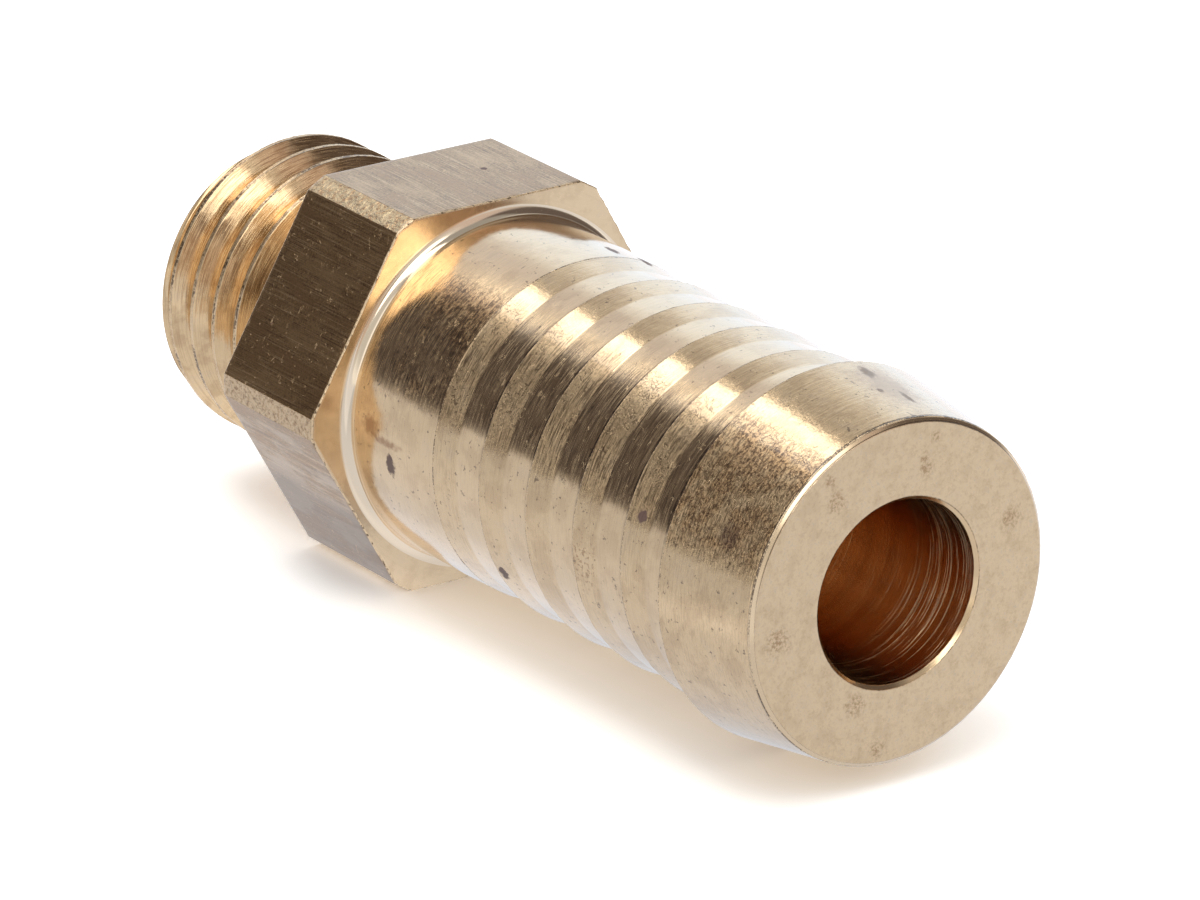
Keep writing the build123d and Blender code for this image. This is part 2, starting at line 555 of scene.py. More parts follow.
class Brass(Graph):
    """A brass material in the making: layers of colour, roughness and height on the bare metal.

    Distances and heights are in millimetres."""

    def __init__(self, name, roughness=0.2, color=BARE):
        self.material = bpy.data.materials.new("brass_" + name)
        self.material.use_nodes = True
        super().__init__(self.material.node_tree)
        self.color = color
        self.roughness = roughness
        self.height = 0.0
        place = self.add("ShaderNodeTexCoord", output=3)
        self.place = self.vector("SCALE", place)
        self.place.node.inputs["Scale"].default_value = 1 / MM
        self.x, self.y, self.z = self.split(self.place)
        self.radius = self.vector("LENGTH", self.combine(0.0, self.y, self.z), output=1)
        self.edge = self.add("ShaderNodeAttribute", output=2, attribute_name="edge")
        self.wobble = None
        self.oxide = None
        self.slant = 1.0

    def follow_thread(self):
        """Makes turned marks follow the thread's helix and run along its flanks."""
        angle = self.math("ARCTAN2", self.part(self.z, -1.0), self.part(self.y, -1.0))
        lead = -THREAD_PITCH / (2 * math.pi)
        self.x = self.math("MULTIPLY_ADD", angle, lead, self.x)
        self.slant = -1.0

    def turned(self, across, along, seed=0.0):
        """Coordinates stretched round the axis, as a lathe leaves its marks."""
        level = self.math("MULTIPLY_ADD", self.radius, self.slant, self.x)
        level = self.math("MULTIPLY_ADD", level, across, seed)
        squash = self.math("DIVIDE", along * BARB_RADIUS, self.radius)
        return self.combine(level, self.part(self.y, squash), self.part(self.z, squash))

    def drawn(self, across, along, seed=0.0):
        """Coordinates stretched along the axis, as drawn bar has its marks."""
        sizes = (along, across, across)
        return self.vector("MULTIPLY_ADD", self.place, sizes, (seed, seed, seed))

    def even(self, size, seed=0.0):
        """Coordinates of the same scale in all directions."""
        return self.vector("MULTIPLY_ADD", self.place, (size, size, size), (seed, seed, seed))

    def tint(self, mask, color):
        """Covers the metal in a colour where the mask is 1."""
        self.color = self.blend(mask, self.color, color)

    def rub(self, mask, roughness):
        """Changes the roughness where the mask is 1."""
        self.roughness = self.mix(mask, self.roughness, roughness)

    def lift(self, mask, height):
        """Adds height where the mask is 1."""
        self.height = self.math("MULTIPLY_ADD", mask, height, self.height)

    def stain(self, mask, color):
        """Dull oxide that does not mirror as the metal does."""
        self.tint(mask, color)
        self.rub(mask, 0.5)
        self.oxide = mask if self.oxide is None else self.math("MAXIMUM", self.oxide, mask)

    def lines(self, vector, width, detail=1.0, distortion=0.0):
        """Thin winding lines where a noise passes its middle."""
        level = self.noise(vector, 1.0, detail, 0.5, distortion)
        away = self.math("ABSOLUTE", self.math("SUBTRACT", level, 0.5))
        return self.ramp(away, width, 0.3 * width)

    def handled(self, low=0.15):
        """Mask of the side handled most, with the level elsewhere."""
        turn = math.radians(HANDLED_SIDE)
        across = self.part(self.y, math.cos(turn))
        towards = self.math("ADD", across, self.part(self.z, math.sin(turn)))
        return self.ramp(self.math("DIVIDE", towards, self.radius), 0.90, 0.965, low, 1.0)

    def upper_side(self, low, high, elsewhere):
        """Mask of the side that faces up, from one height to another as parts of the radius."""
        return self.ramp(self.math("DIVIDE", self.z, self.radius), low, high, elsewhere, 1.0)

    def spot(self, x, radius, angle, length, width, uneven=0.35, soft=0.25):
        """Mask of an uneven oval spot centred at x and an angle in degrees round the axis."""
        if self.wobble is None:
            self.wobble = self.math("SUBTRACT", self.noise(self.even(5.0), detail=3.0), 0.5)
        turn = math.radians(angle)
        centre = (x, radius * math.cos(turn), radius * math.sin(turn))
        away = self.vector("SUBTRACT", self.place, centre)
        away = self.vector("MULTIPLY", away, (1 / length, 1 / width, 1 / width))
        far = self.vector("LENGTH", away, output=1)
        far = self.math("MULTIPLY_ADD", self.wobble, 4 * uneven, far)
        return self.ramp(far, 1.0 + soft, 1.0 - soft)

    def finish(self, coat=0.9):
        """Joins the layers to the shader. Oxide takes the metal and the coat away."""
        shader = self.tree.nodes["Principled BSDF"]
        metal = 1.0
        if self.oxide is not None:
            metal = self.math("SUBTRACT", 1.0, self.oxide)
            coat = self.part(metal, coat)
        self.put(shader.inputs["Metallic"], metal)
        self.put(shader.inputs["Coat Weight"], coat)
        self.put(shader.inputs["Coat Roughness"], COAT_ROUGHNESS)
        self.put(shader.inputs["Coat IOR"], COAT_IOR)
        self.put(shader.inputs["Base Color"], self.color)
        self.put(shader.inputs["Roughness"], self.roughness)
        inputs = [("Height", self.height), ("Distance", MM), ("Strength", 1.0)]
        self.put(shader.inputs["Normal"], self.add("ShaderNodeBump", inputs))
        return self.material


# Marks on the brass
# The cover is a mask or a strength. Sizes are waves a millimetre, so larger ones are finer.

def lathe_marks(brass, depth, across=11.0, browning=0.06):
    """Fine rings left by the tool, broken here and there, with a broad waviness."""
    fine = brass.noise(brass.turned(across, 0.35), detail=3.0, roughness=0.65)
    brass.lift(fine, depth)
    brass.tint(brass.ramp(fine, 0.50, 0.66, 0.0, browning), BROWN)
    brass.rub(brass.ramp(fine, 0.52, 0.70, 0.0, 0.25), 0.32)
    broad = brass.noise(brass.turned(1.6, 0.12, 7.0), detail=1.0)
    brass.lift(broad, 0.005)


def waviness(brass, size, height, seed=1.0, detail=2.0, roughness=0.5):
    """Low swellings that bend the reflections."""
    brass.lift(brass.noise(brass.even(size, seed), detail=detail, roughness=roughness), height)


def grain(brass, cover, depth, brown, size=9.0):
    """Fine dark grains and bright flecks on browned metal, where the cover lets them show."""
    grains = brass.noise(brass.turned(size, 0.6 * size, 4.0), detail=3.0, roughness=0.7)
    brass.tint(brass.part(cover, cover, brown), SCORCHED)
    brass.rub(brass.part(cover, 0.6), 0.30)
    brass.lift(brass.part(grains, cover), depth)
    brass.tint(brass.part(brass.ramp(grains, 0.50, 0.58), cover, 0.8), UMBER)
    flecks = brass.part(brass.ramp(grains, 0.44, 0.36), cover)
    brass.tint(brass.part(flecks, 0.5), BARE)
    brass.rub(brass.part(flecks, 0.8), 0.42)


def strokes(brass, cover, along, strength, color=UMBER, depth=0.006, across=20.0):
    """Short dark and bright strokes round the axis."""
    level = brass.noise(brass.turned(across, along, 31.0), detail=2.0)
    brass.lift(brass.part(level, cover), depth)
    brass.tint(brass.part(brass.ramp(level, 0.50, 0.60), cover, strength), color)
    brass.rub(brass.part(brass.ramp(level, 0.46, 0.38), cover, 0.5), 0.42)


def worms(brass, cover, depth, size, width=0.034):
    """Winding dark scores in clusters."""
    scores = brass.part(brass.lines(brass.even(size, 5.0), width, 2.0, 0.8), cover)
    brass.lift(scores, -depth)
    brass.tint(brass.part(scores, 0.8), UMBER)


def scratches(brass, cover, size=1.6):
    """Short bright scratches, a few together."""
    lines = brass.lines(brass.turned(2.2 * size, size, 13.0), 0.010, 1.0, 1.2)
    groups = brass.noise(brass.even(1.5 * size, 15.0), detail=1.0)
    marks = brass.part(lines, brass.ramp(groups, 0.60, 0.66), cover)
    brass.tint(marks, BARE)
    brass.rub(marks, 0.5)
    brass.lift(marks, -0.004)


def worn_edge(brass, bead=11.0, bare=0.54, height=0.02):
    """Ragged beads where an edge has chipped, dark along some stretches and bright along others."""
    chips = brass.noise(brass.even(bead, 4.0), detail=3.0, roughness=0.6)
    stretch = brass.noise(brass.even(0.07 * bead, 8.0), detail=1.0)
    near = brass.ramp(brass.edge, 0.2, 0.7)
    brass.lift(brass.part(near, chips), height)
    brass.rub(brass.part(near, 0.8), 0.45)
    dark = brass.ramp(brass.math("ADD", chips, stretch), bare + 0.48, bare + 0.60)
    brass.tint(brass.part(near, dark, 0.85), UMBER)
    brass.tint(brass.part(near, brass.ramp(chips, 0.48, 0.40), 0.7), FACED)


def valley_painted_shade(brass):
    """Painted shade: darker metal in the corner under each barb's step, broken here and there."""
    corner_shade = brass.ramp(brass.edge, -0.05, -0.7)
    gaps = brass.noise(brass.even(4.0, 37.0), detail=3.0)
    broken = brass.ramp(gaps, 0.36, 0.54, 0.35, 1.0)
    brass.tint(brass.part(corner_shade, broken, brass.handled(0.35), 0.9), UMBER)


def clouds(brass, strength, size=0.8):
    """Faint brown stains with soft, speckled borders."""
    cloud = brass.noise(brass.even(size, 21.0), detail=5.0, roughness=0.62)
    brass.tint(brass.ramp(cloud, 0.46, 0.62, 0.0, strength), BROWN)
    brass.tint(brass.ramp(cloud, 0.44, 0.34, 0.0, 0.5 * strength), GREY)


def specks(brass):
    """Small brown specks strewn over the metal."""
    level = brass.noise(brass.even(3.6, 41.0), detail=3.0, roughness=0.7)
    brass.tint(brass.ramp(level, 0.63, 0.69, 0.0, 0.65), UMBER)


# Spots as (x, angle, length, width), where the photo shows them
OVAL_SPOTS = (
    (8.75, 187.1, 0.26, 0.42),
    (24.03, 161.8, 0.24, 0.30),
    (14.81, 210.0, 0.22, 0.30),
    (10.61, 73.1, 0.40, 0.20),
    (11.50, 65.0, 0.45, 0.20),
    (12.79, 192.1, 0.10, 0.10),
    (24.65, 170.8, 0.08, 0.08),
    (15.16, 216.2, 0.10, 0.10),
)
RUST_SPOTS = (
    (7.5, 177.0, 0.42, 0.34),
    (8.5, 180.0, 0.8, 0.14),
)
NOSE_TOP_SPOTS = (
    (27.2, 80.1, 0.45, 0.22),
    (29.2, 77.6, 0.45, 0.12),
    (28.6, 84.0, 0.15, 0.12),
)


def barb_spots(brass):
    """Oval spots, a rust stain and a speckled patch along the shank and the barbs."""
    for x, angle, length, width in OVAL_SPOTS:
        oval = brass.spot(x, BARB_RADIUS, angle, length, width)
        brass.stain(brass.part(oval, 0.9), VIOLET)
    for x, angle, length, width in RUST_SPOTS:
        rust = brass.spot(x, BARB_RADIUS, angle, length, width, uneven=0.5, soft=0.7)
        brass.tint(brass.part(rust, 0.8), RUST)
    speckles = brass.ramp(brass.noise(brass.even(8.0, 9.0), detail=2.0), 0.53, 0.62)
    patch = brass.spot(20.87, BARB_RADIUS, 185.5, 0.6, 1.0, uneven=0.5, soft=0.5)
    brass.tint(brass.part(speckles, patch, 0.7), BROWN)
    specks(brass)


def nose_spots(brass):
    """A dark smudge on the handled side of the nose, and marks in a grey haze on its top."""
    smudge_x, haze_x = 28.97, 28.2
    smudge = brass.spot(smudge_x, nose_radius(smudge_x), 154.0, 0.45, 0.45, soft=0.5)
    brass.tint(brass.part(smudge, 0.5), VIOLET)
    for x, angle, length, width in NOSE_TOP_SPOTS:
        mark = brass.spot(x, nose_radius(x), angle, length, width, uneven=0.3, soft=0.4)
        brass.stain(brass.part(mark, 0.8), UMBER)
    haze = brass.spot(haze_x, nose_radius(haze_x), 79.0, 1.6, 0.8, uneven=0.4, soft=0.8)
    brass.stain(brass.part(haze, 0.5), HAZE)
    specks(brass)


# Materials of the regions

def groove_brass():
    """The turned cylinders between the barbs and under the hexagon."""
    brass = Brass("groove", 0.14)
    lathe_marks(brass, depth=0.0012)
    clouds(brass, strength=0.22)
    patches = brass.noise(brass.even(0.6, 11.0), detail=3.0)
    patches = brass.ramp(patches, 0.36, 0.56, 0.4, 1.0)
    shank = brass.ramp(brass.x, 12.0, 11.2, 0.22, 1.0)
    off_fillet = brass.ramp(brass.x, 7.3, 8.9)
    cover = brass.part(patches, shank, off_fillet, brass.handled(0.0))
    grain(brass, cover, depth=0.005, brown=0.75)
    strokes(brass, brass.handled(0.15), along=1.2, strength=0.5, depth=0.002)
    scratches(brass, brass.handled(0.1))
    waviness(brass, size=1.3, height=0.008)
    # Painted shade in the corners under the steps
    valley_painted_shade(brass)
    barb_spots(brass)
    return brass.finish(1.0)


def cone_brass(name):
    """The start of a barb's or the nose's cone: lathe marks, clouds and a rubbed handled side."""
    brass = Brass(name, 0.18)
    lathe_marks(brass, depth=0.009, across=13.0, browning=0.10)
    clouds(brass, strength=0.25)
    handled = brass.handled(0.0)
    brass.rub(brass.part(handled, 0.6), 0.40)
    return brass, handled


def land_brass():
    """The barbs' cones, rubbed, grained and scored."""
    brass, handled = cone_brass("land")
    patches = brass.noise(brass.even(0.8, 11.0), detail=3.0)
    patches = brass.ramp(patches, 0.36, 0.60, 0.35, 1.0)
    grain(brass, brass.part(patches, handled, 0.5), depth=0.004, brown=0.1, size=13.0)
    clusters = brass.ramp(brass.noise(brass.even(0.7, 3.0), detail=1.0), 0.44, 0.56)
    streaked = brass.part(brass.handled(0.2), brass.ramp(clusters, 1.0, 0.0, 0.4, 1.0))
    strokes(brass, streaked, along=1.6, strength=0.65)
    worms(brass, brass.part(clusters, handled, 0.85), depth=0.005, size=3.4)
    scratches(brass, brass.handled(0.2))
    waviness(brass, size=2.6, height=0.010, seed=6.0, detail=3.0, roughness=0.6)
    worn_edge(brass, bead=13.0, bare=0.49, height=0.03)
    barb_spots(brass)
    return brass.finish(1.0)


def nose_brass():
    """The nose's cone, with fine brown grains on its handled side and painted shade in a slight
    wandering groove along its rim, strongest on top.
    """
    brass, handled = cone_brass("nose")
    patches = brass.noise(brass.even(1.1, 11.0), detail=4.0, roughness=0.65)
    patches = brass.ramp(patches, 0.36, 0.58, 0.3, 1.0)
    grain(brass, brass.part(patches, handled), depth=0.005, brown=0.7, size=12.0)
    strokes(brass, brass.handled(0.2), along=3.5, strength=0.6)
    worms(brass, brass.part(handled, 0.75), depth=0.006, size=3.6)
    scratches(brass, brass.handled(0.3))
    waviness(brass, size=2.6, height=0.010, seed=6.0, detail=3.0, roughness=0.6)
    # Painted shade: a dark wandering line along the rim, sunk a little, strongest on the upper side
    wander = brass.noise(brass.even(5.0, 23.0))
    wander = brass.math("MULTIPLY_ADD", wander, 0.16, brass.x)
    rim = brass.ramp(wander, HOSE_END_X - 0.19, HOSE_END_X - 0.12)
    brass.tint(brass.part(rim, brass.upper_side(0.1, 0.6, 0.1), 0.9), UMBER)
    brass.lift(rim, -0.02)
    worn_edge(brass, bead=13.0, bare=0.49, height=0.03)
    nose_spots(brass)
    return brass.finish(1.0)


def nose_edge_brass():
    """The narrow ring between the nose and its end face, burred, with painted shade along its inner
    side above.
    """
    brass = Brass("nose_edge", 0.2, FACED)
    worn_edge(brass, bead=13.0, bare=0.49, height=0.04)
    # Painted shade along the inner side of the ring, on the upper side only
    inner_shade = brass.ramp(brass.x, HOSE_END_X - 0.05, HOSE_END_X - 0.025)
    brass.tint(brass.part(inner_shade, brass.upper_side(0.0, 0.5, 0.0), 0.85), UMBER)
    return brass.finish()


def hex_edge_brass():
    """The hexagon's sharp edges, raised here and there in small bright beads."""
    brass = Brass("hex_edge", 0.42, FACED)
    beads = brass.noise(brass.even(5.0, 4.0), detail=3.0, roughness=0.65)
    brass.tint(brass.ramp(beads, 0.54, 0.62, 0.0, 0.85), UMBER)
    brass.lift(beads, 0.05)
    return brass.finish(0.3)


def shaded_step_brass():
    """The faces of the steps behind the nose and the crests, tinted dark as painted shade."""
    brass = Brass("step", 0.25)
    lathe_marks(brass, depth=0.001)
    # Painted shade on the steps' faces
    brass.tint(0.45, UMBER)
    worn_edge(brass)
    return brass.finish(0.1)


def fillet_brass():
    """The polished fillet between the shank and the hexagon, in paler brass as a painted highlight.
    """
    brass = Brass("fillet", 0.12, POLISHED_HIGHLIGHT)
    lathe_marks(brass, depth=0.0008, across=14.0, browning=0.0)
    return brass.finish()


def face_brass(name, roughness, depth):
    """The start of a faced surface: fine rings and faint stains."""
    brass = Brass(name, roughness, FACED)
    lathe_marks(brass, depth, across=9.0, browning=0.05)
    clouds(brass, strength=0.16, size=1.1)
    return brass


# Dark smudges near the front face's rim as (angle, strength)
FRONT_FACE_SMUDGES = ((88.0, 0.25), (105.0, 0.35), (152.0, 0.3), (208.0, 0.35))


def front_face_brass():
    """The hexagon's face towards the hose end, smudged near its rim."""
    brass = face_brass("front_face", 0.2, 0.0012)
    for angle, strength in FRONT_FACE_SMUDGES:
        smudge = brass.spot(HEX_LENGTH, HEX_APOTHEM, angle, 1.0, 1.2, uneven=0.3, soft=0.7)
        brass.tint(brass.part(smudge, strength), UMBER)
    worn_edge(brass)
    return brass.finish()


# Crumbs of dirt on the end face as (y, z, size), where the photo shows them
END_FACE_CRUMBS = (
    (1.5, 5.7, 0.16), (1.1, 4.5, 0.25), (1.0, 4.9, 0.18),
    (-2.9, 4.1, 0.35), (-3.2, 5.0, 0.22), (5.04, 1.8, 0.36),
    (-5.38, -0.64, 0.42), (-1.82, -3.9, 0.36), (-0.82, -5.89, 0.28),
)


def end_face_brass():
    """The end face round the bore's mouth, mottled and with crumbs of dirt."""
    brass = face_brass("end_face", 0.28, 0.0006)
    mottle = brass.noise(brass.even(6.0, 17.0), detail=3.0, roughness=0.7)
    brass.tint(brass.ramp(mottle, 0.45, 0.70, 0.0, 0.22), BROWN)
    brass.tint(brass.ramp(mottle, 0.45, 0.30, 0.0, 0.35), GREY)
    crumbs = brass.noise(brass.even(8.0, 2.0), detail=3.0, roughness=0.7)
    crumbs = brass.ramp(crumbs, 0.42, 0.60, 0.1, 1.0)
    for y, z, size in END_FACE_CRUMBS:
        angle = math.degrees(math.atan2(z, y))
        mask = brass.spot(HOSE_END_X, math.hypot(y, z), angle, size, size, uneven=0.6, soft=0.9)
        brass.tint(brass.part(mask, crumbs, 0.75), BROWN)
    return brass.finish(0.5)


# Small dark spots on the flats as (x, radius, angle, size)
FLAT_SPOTS = ((2.78, 7.66, 78.1, 0.14), (3.3, 7.9, 141.0, 0.1), (1.4, 7.7, 160.0, 0.1))


def flat_brass():
    """Drawn bar left on the sides of the hexagon: fine lines along the axis and brown clouds."""
    brass = Brass("flat", 0.30, PATINA)
    lines = brass.noise(brass.drawn(22.0, 0.28), detail=3.0, roughness=0.7)
    brass.lift(lines, 0.002)
    brass.tint(brass.ramp(lines, 0.47, 0.34, 0.0, 0.75), BARE)
    brass.tint(brass.ramp(lines, 0.53, 0.66, 0.0, 0.8), UMBER)
    weave = brass.noise(brass.even(13.0, 19.0), detail=2.0)
    brass.tint(brass.ramp(weave, 0.50, 0.66, 0.0, 0.45), UMBER)
    brass.tint(brass.ramp(weave, 0.48, 0.34, 0.0, 0.35), DULL)
    cloud = brass.noise(brass.drawn(0.9, 0.35, 5.0), detail=4.0, roughness=0.62)
    brass.tint(brass.ramp(cloud, 0.52, 0.38, 0.0, 0.45), DULL)
    brass.tint(brass.ramp(cloud, 0.50, 0.62, 0.0, 0.6), BROWN)
    # Greyer clouds on the lower side
    below = brass.ramp(brass.z, -0.5, -1.0)
    brass.tint(brass.part(brass.ramp(cloud, 0.60, 0.36), below, 0.5), GREY)
    # Darker towards the bottom, with a clouded border
    clouded_height = brass.math("MULTIPLY_ADD", cloud, 3.0, brass.z)
    lowest = brass.ramp(clouded_height, -1.8, -3.2)
    brass.tint(brass.part(lowest, 0.55), UMBER)
    nicks = brass.noise(brass.drawn(8.0, 5.0, 8.0), detail=1.0)
    nicks = brass.ramp(nicks, 0.72, 0.77)
    brass.tint(brass.part(nicks, 0.5), BARE)
    brass.lift(nicks, -0.006)
    scratches(brass, 0.8)
    worn_edge(brass)
    for x, radius, angle, size in FLAT_SPOTS:
        brass.stain(brass.part(brass.spot(x, radius, angle, size, size), 0.85), VIOLET)
    return brass.finish(0.3)


def corner_brass():
    """The cylinder left at the hexagon's corners, covered in small winding pits."""
    brass = Brass("corner", 0.28, DULL)
    brass.tint(0.55, FACED)
    # More olive towards the top
    brass.tint(brass.upper_side(0.5, 0.8, 0.2), OLIVE)
    mottle = brass.noise(brass.even(5.0, 7.0), detail=4.0, roughness=0.7)
    brass.tint(brass.ramp(mottle, 0.46, 0.60, 0.0, 0.8), BROWN)
    brass.tint(brass.ramp(mottle, 0.58, 0.68, 0.0, 0.6), UMBER)
    pits = brass.noise(brass.even(3.0, 7.0), detail=3.0, roughness=0.6, distortion=0.6)
    brass.lift(pits, 0.05)
    worms(brass, 0.35, depth=0.008, size=2.4, width=0.022)
    worn_edge(brass)
    return brass.finish(0.6)


def thread_brass():
    """The thread and the relief, streaked along the helix and browner above."""
    brass = Brass("thread", 0.13)
    brass.follow_thread()
    lathe_marks(brass, depth=0.0025, across=12.0, browning=0.25)
    cover = brass.upper_side(-0.05, 0.35, 0.15)
    strokes(brass, cover, along=0.8, strength=0.75, color=BROWN, depth=0.0015, across=24.0)
    waviness(brass, size=2.0, height=0.004)
    clouds(brass, strength=0.35, size=1.1)
    worn_edge(brass, bead=9.0, bare=0.55, height=0.01)
    return brass.finish(0.4)


def bore_brass():
    """The drilled hole, in darker brass as painted shade inside it, with rings that catch the light
    near its mouth.
    """
    brass = Brass("bore", 0.2, DRILLED_SHADED)
    rings = brass.noise(brass.turned(7.0, 0.08), detail=4.0, roughness=0.75)
    brass.lift(rings, 0.008)
    bands = brass.noise(brass.turned(1.3, 0.04, 9.0), detail=3.0)
    brass.tint(brass.ramp(bands, 0.48, 0.60, 0.0, 0.25), BROWN)
    arcs = brass.noise(brass.turned(12.0, 0.07, 3.0), detail=3.0, roughness=0.7)
    near_mouth = brass.ramp(brass.x, 26.0, 29.5, 0.15, 1.0)
    arcs = brass.part(brass.ramp(arcs, 0.54, 0.66), near_mouth)
    brass.lift(arcs, 0.009)
    brass.rub(brass.part(arcs, 0.5), 0.45)
    return brass.finish(0.0)


def mouth_brass():
    """The chamfers at the ends of the bore."""
    brass = Brass("mouth", 0.15)
    lathe_marks(brass, depth=0.001)
    worn_edge(brass, bare=0.49)
    return brass.finish()


def back_face_brass():
    """The hexagon's face towards the thread, and the thread's end face."""
    return face_brass("back_face", 0.2, 0.0012).finish()


adapter = build_adapter({
    "bore": bore_brass(),
    "mouth": mouth_brass(),
    "end_face": end_face_brass(),
    "nose_edge": nose_edge_brass(),
    "nose": nose_brass(),
    "land": land_brass(),
    "step": shaded_step_brass(),
    "root": groove_brass(),
    "fillet": fillet_brass(),
    "front_face": front_face_brass(),
    "hex_edge": hex_edge_brass(),
    "flat": flat_brass(),
    "corner": corner_brass(),
    "back_face": back_face_brass(),
    "thread": thread_brass(),
})
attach(adapter, "root")
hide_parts("adapter_body")


# Table: white to the camera, and to the metal a pale floor that grows brighter behind the adapter

TABLE_RADIUS = 1500
TABLE_SIDES = 96
TABLE_WHITE = 1.45
TABLE_NEAR = 0.66
TABLE_FAR = 1.02
TABLE_GLOW = 0.85
TABLE_TINT = (0.97, 1.0, 1.08)
FRONT_SHADE = 0.86
BACK_SHADE = 1.05
BESIDE_GLOW = 0.2
AHEAD_GLOW = 0.35

# Where the floor's level changes, each from the start to the end of a smooth step
DISTANCE_SPAN = (-60, 80)
FRONT_SPAN = (-50, 5)
BESIDE_OUTER_Y = (-8, -5)
BESIDE_INNER_Y = (-2, -4)
BESIDE_X = (20, 12)
AHEAD_X = (14, 20)
AHEAD_Y = (-14, -20)


def table_level(graph):
    """Level of the floor in the metal's reflections, by place."""
    place = graph.add("ShaderNodeTexCoord", output=3)
    x, y = graph.split(place)[:2]

    def step(value, span, low=0.0, high=1.0):
        return graph.ramp(value, span[0] * MM, span[1] * MM, low, high)

    distance = step(graph.math("SUBTRACT", y, x), DISTANCE_SPAN, TABLE_NEAR, TABLE_FAR)
    front = step(y, FRONT_SPAN, FRONT_SHADE, BACK_SHADE)
    beside = graph.part(step(y, BESIDE_OUTER_Y), step(y, BESIDE_INNER_Y), step(x, BESIDE_X))
    ahead = graph.part(step(x, AHEAD_X), step(y, AHEAD_Y))
    return graph.part(distance, front,
                      graph.math("MULTIPLY_ADD", beside, BESIDE_GLOW, 1.0),
                      graph.math("MULTIPLY_ADD", ahead, AHEAD_GLOW, 1.0))


def table_material():
    """White for the camera, and mostly glowing for every other ray."""
    material = bpy.data.materials.new("table")
    material.use_nodes = True
    graph = Graph(material.node_tree)
    graph.tree.nodes.remove(graph.tree.nodes["Principled BSDF"])
    level = table_level(graph)
    shade = graph.combine(*(graph.part(level, tint) for tint in TABLE_TINT))
    white = graph.combine(TABLE_WHITE, TABLE_WHITE, TABLE_WHITE)
    seen = graph.add("ShaderNodeBsdfDiffuse", [("Color", white)])
    lit = graph.add("ShaderNodeBsdfDiffuse", [("Color", shade)])
    glow = graph.add("ShaderNodeEmission", [("Color", shade)])
    reflected = graph.add("ShaderNodeMixShader", [(0, TABLE_GLOW), (1, lit), (2, glow)])
    camera_ray = graph.add("ShaderNodeLightPath", output=0)
    surface = graph.add("ShaderNodeMixShader", [(0, camera_ray), (1, reflected), (2, seen)])
    graph.put(graph.tree.nodes["Material Output"].inputs["Surface"], surface)
    return material


bpy.ops.mesh.primitive_circle_add(vertices=TABLE_SIDES, radius=TABLE_RADIUS * MM,
                                  fill_type="NGON", location=(0, 0, -HEX_APOTHEM * MM))
table = bpy.context.object
table.name = "table"
table.data.materials.append(table_material())


# Studio: a white room to the camera, and soft panels that the metal reflects
# Each panel runs between two azimuths and two heights in degrees, the azimuth from -X towards +Y.

NEUTRAL = (1.0, 1.0, 1.0)
COOL = (0.92, 1.05, 1.22)
WARM = (1.08, 0.96, 0.94)
BRONZE = (1.0, 0.84, 0.80)
GOLDEN = (1.0, 0.82, 0.72)
PALE = (0.97, 1.0, 1.12)
ROOM_LEVEL = 0.9
WALL_LEVEL = 0.7
CEILING_LEVEL = 0.35
WALL_TOP = 40
CEILING_EDGE = 60
PANELS = (
    # azimuth from, to, softness, height from, to, softness, level, colour
    (-150, -84, 10, -20, 60, 10, 0.6, NEUTRAL),
    (-138, -86, 8, -24, 8, 6, 1.0, NEUTRAL),
    (-86, -62, 4, -20, 50, 6, 1.1, NEUTRAL),
    (-20, 28, 8, -1, 44, 6, 0.75, PALE),
    (-64, -13, 5, -1, 48, 6, 0.115, WARM),
    (-6, 4, 5, 36, 48, 4, 0.95, NEUTRAL),
    (-3, 10, 5, 15, 32, 5, 1.75, NEUTRAL),
    (26, 70, 6, -20, 37, 7, 1.1, COOL),
    (86, 143, 5, -1, 52, 8, 0.13, BRONZE),
    (143, 160, 5, -1, 52, 8, 0.62, BRONZE),
    (-180, -152, 5, -8, 17, 4, 0.58, GOLDEN),
    (-182, -163, 3, 16, 23, 2, 0.28, BRONZE),
    (-192, -144, 2, 24, 50, 2, 2.6, NEUTRAL),
)

# Azimuths wrap in the gap between two panels, so that none is cut
AZIMUTH_MAX = 165.0
AZIMUTH_MIN = -195.0


def panel_light(graph):
    """Colour of the room's walls and panels by direction."""
    direction = graph.add("ShaderNodeTexCoord", output=0)
    x, y, z = graph.split(direction)
    azimuth = graph.math("DEGREES", graph.math("ARCTAN2", y, graph.part(x, -1.0)))
    azimuth = graph.math("WRAP", azimuth, AZIMUTH_MAX, AZIMUTH_MIN)
    height = graph.math("DEGREES", graph.math("ARCSINE", z))

    def inside(value, start, end, soft):
        rise = graph.ramp(value, start - soft, start + soft)
        fall = graph.ramp(value, end + soft, end - soft)
        return graph.part(rise, fall)

    level = graph.ramp(height, WALL_TOP, CEILING_EDGE, WALL_LEVEL, CEILING_LEVEL)
    light = graph.combine(level, level, level)
    for start, end, soft, low, high, soft_height, panel_level, color in PANELS:
        across = inside(azimuth, start, end, soft)
        mask = graph.part(across, inside(height, low, high, soft_height))
        light = graph.blend(mask, light, tuple(panel_level * c for c in color))
    return light


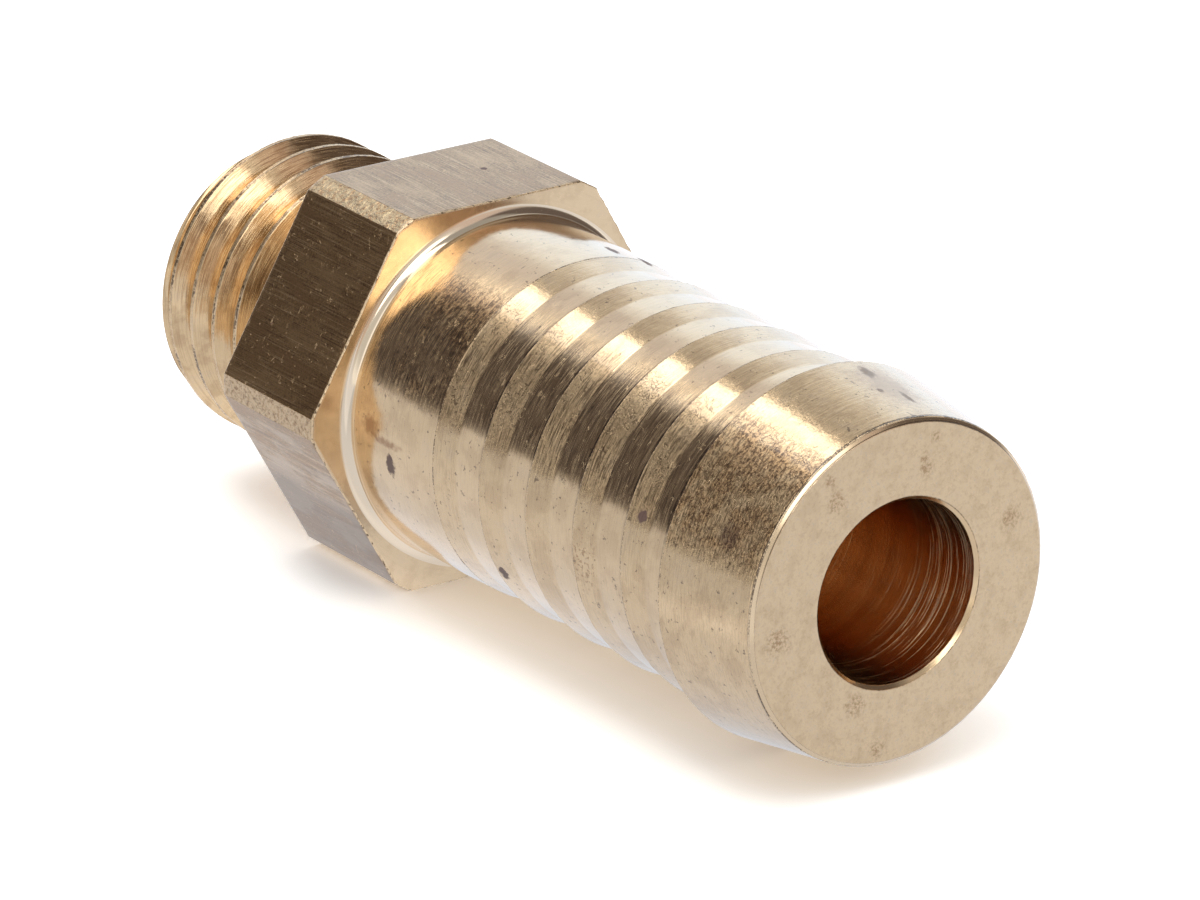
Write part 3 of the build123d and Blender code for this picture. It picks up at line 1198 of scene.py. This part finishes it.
def build_world():
    """Panels for the metal's reflections, a plain room for other rays and white for the camera."""
    world = bpy.data.worlds.new("studio")
    world.use_nodes = True
    world.cycles.sampling_method = "NONE"
    bpy.context.scene.world = world
    graph = Graph(world.node_tree)
    light = panel_light(graph)
    rays = graph.add("ShaderNodeLightPath").node.outputs
    light = graph.blend(rays["Is Glossy Ray"], (ROOM_LEVEL, ROOM_LEVEL, ROOM_LEVEL), light)
    light = graph.blend(rays["Is Camera Ray"], light, (1.0, 1.0, 1.0))
    graph.put(world.node_tree.nodes["Background"].inputs["Color"], light)


build_world()

# Softbox overhead
SOFTBOX_PLACE = (-53, -84, 400)
SOFTBOX_SIZE = (666, 165)
SOFTBOX_TURN = -10.0
SOFTBOX_LEVEL = 2.2
lamp = bpy.data.lights.new("softbox", "AREA")
lamp.shape = "RECTANGLE"
lamp.size, lamp.size_y = (side * MM for side in SOFTBOX_SIZE)
lamp.energy = SOFTBOX_LEVEL * math.pi * lamp.size * lamp.size_y
softbox = bpy.data.objects.new("softbox", lamp)
softbox.location = Vector(SOFTBOX_PLACE) * MM
softbox.rotation_euler = (0, 0, math.radians(SOFTBOX_TURN))
softbox.visible_camera = False
bpy.context.collection.objects.link(softbox)

# Camera, at the place and with the lens worked out from the photo
CAMERA_PLACE = (242.46, -167.12, 110.21)
CAMERA_RIGHT = (0.58420, 0.81151, 0.01263)
CAMERA_UP = (-0.30136, 0.20245, 0.93177)
CAMERA_BACK = (0.75358, -0.54815, 0.36283)
CAMERA_LENS = 245.4
CAMERA_SENSOR_WIDTH = 36.0
CAMERA_CLIP = (10, 10000)
camera_data = bpy.data.cameras.new("camera")
camera_data.lens = CAMERA_LENS
camera_data.sensor_width = CAMERA_SENSOR_WIDTH
camera_data.clip_start, camera_data.clip_end = (place * MM for place in CAMERA_CLIP)
camera = bpy.data.objects.new("camera", camera_data)
bpy.context.collection.objects.link(camera)
camera_turn = Matrix((CAMERA_RIGHT, CAMERA_UP, CAMERA_BACK)).transposed()
camera.matrix_world = Matrix.Translation(Vector(CAMERA_PLACE) * MM) @ camera_turn.to_4x4()
bpy.context.scene.camera = camera

# The bore is lit by light that bounces in it several times
GLOSSY_BOUNCES = 8
bpy.context.scene.view_settings.view_transform = "Standard"
bpy.context.scene.cycles.glossy_bounces = GLOSSY_BOUNCES
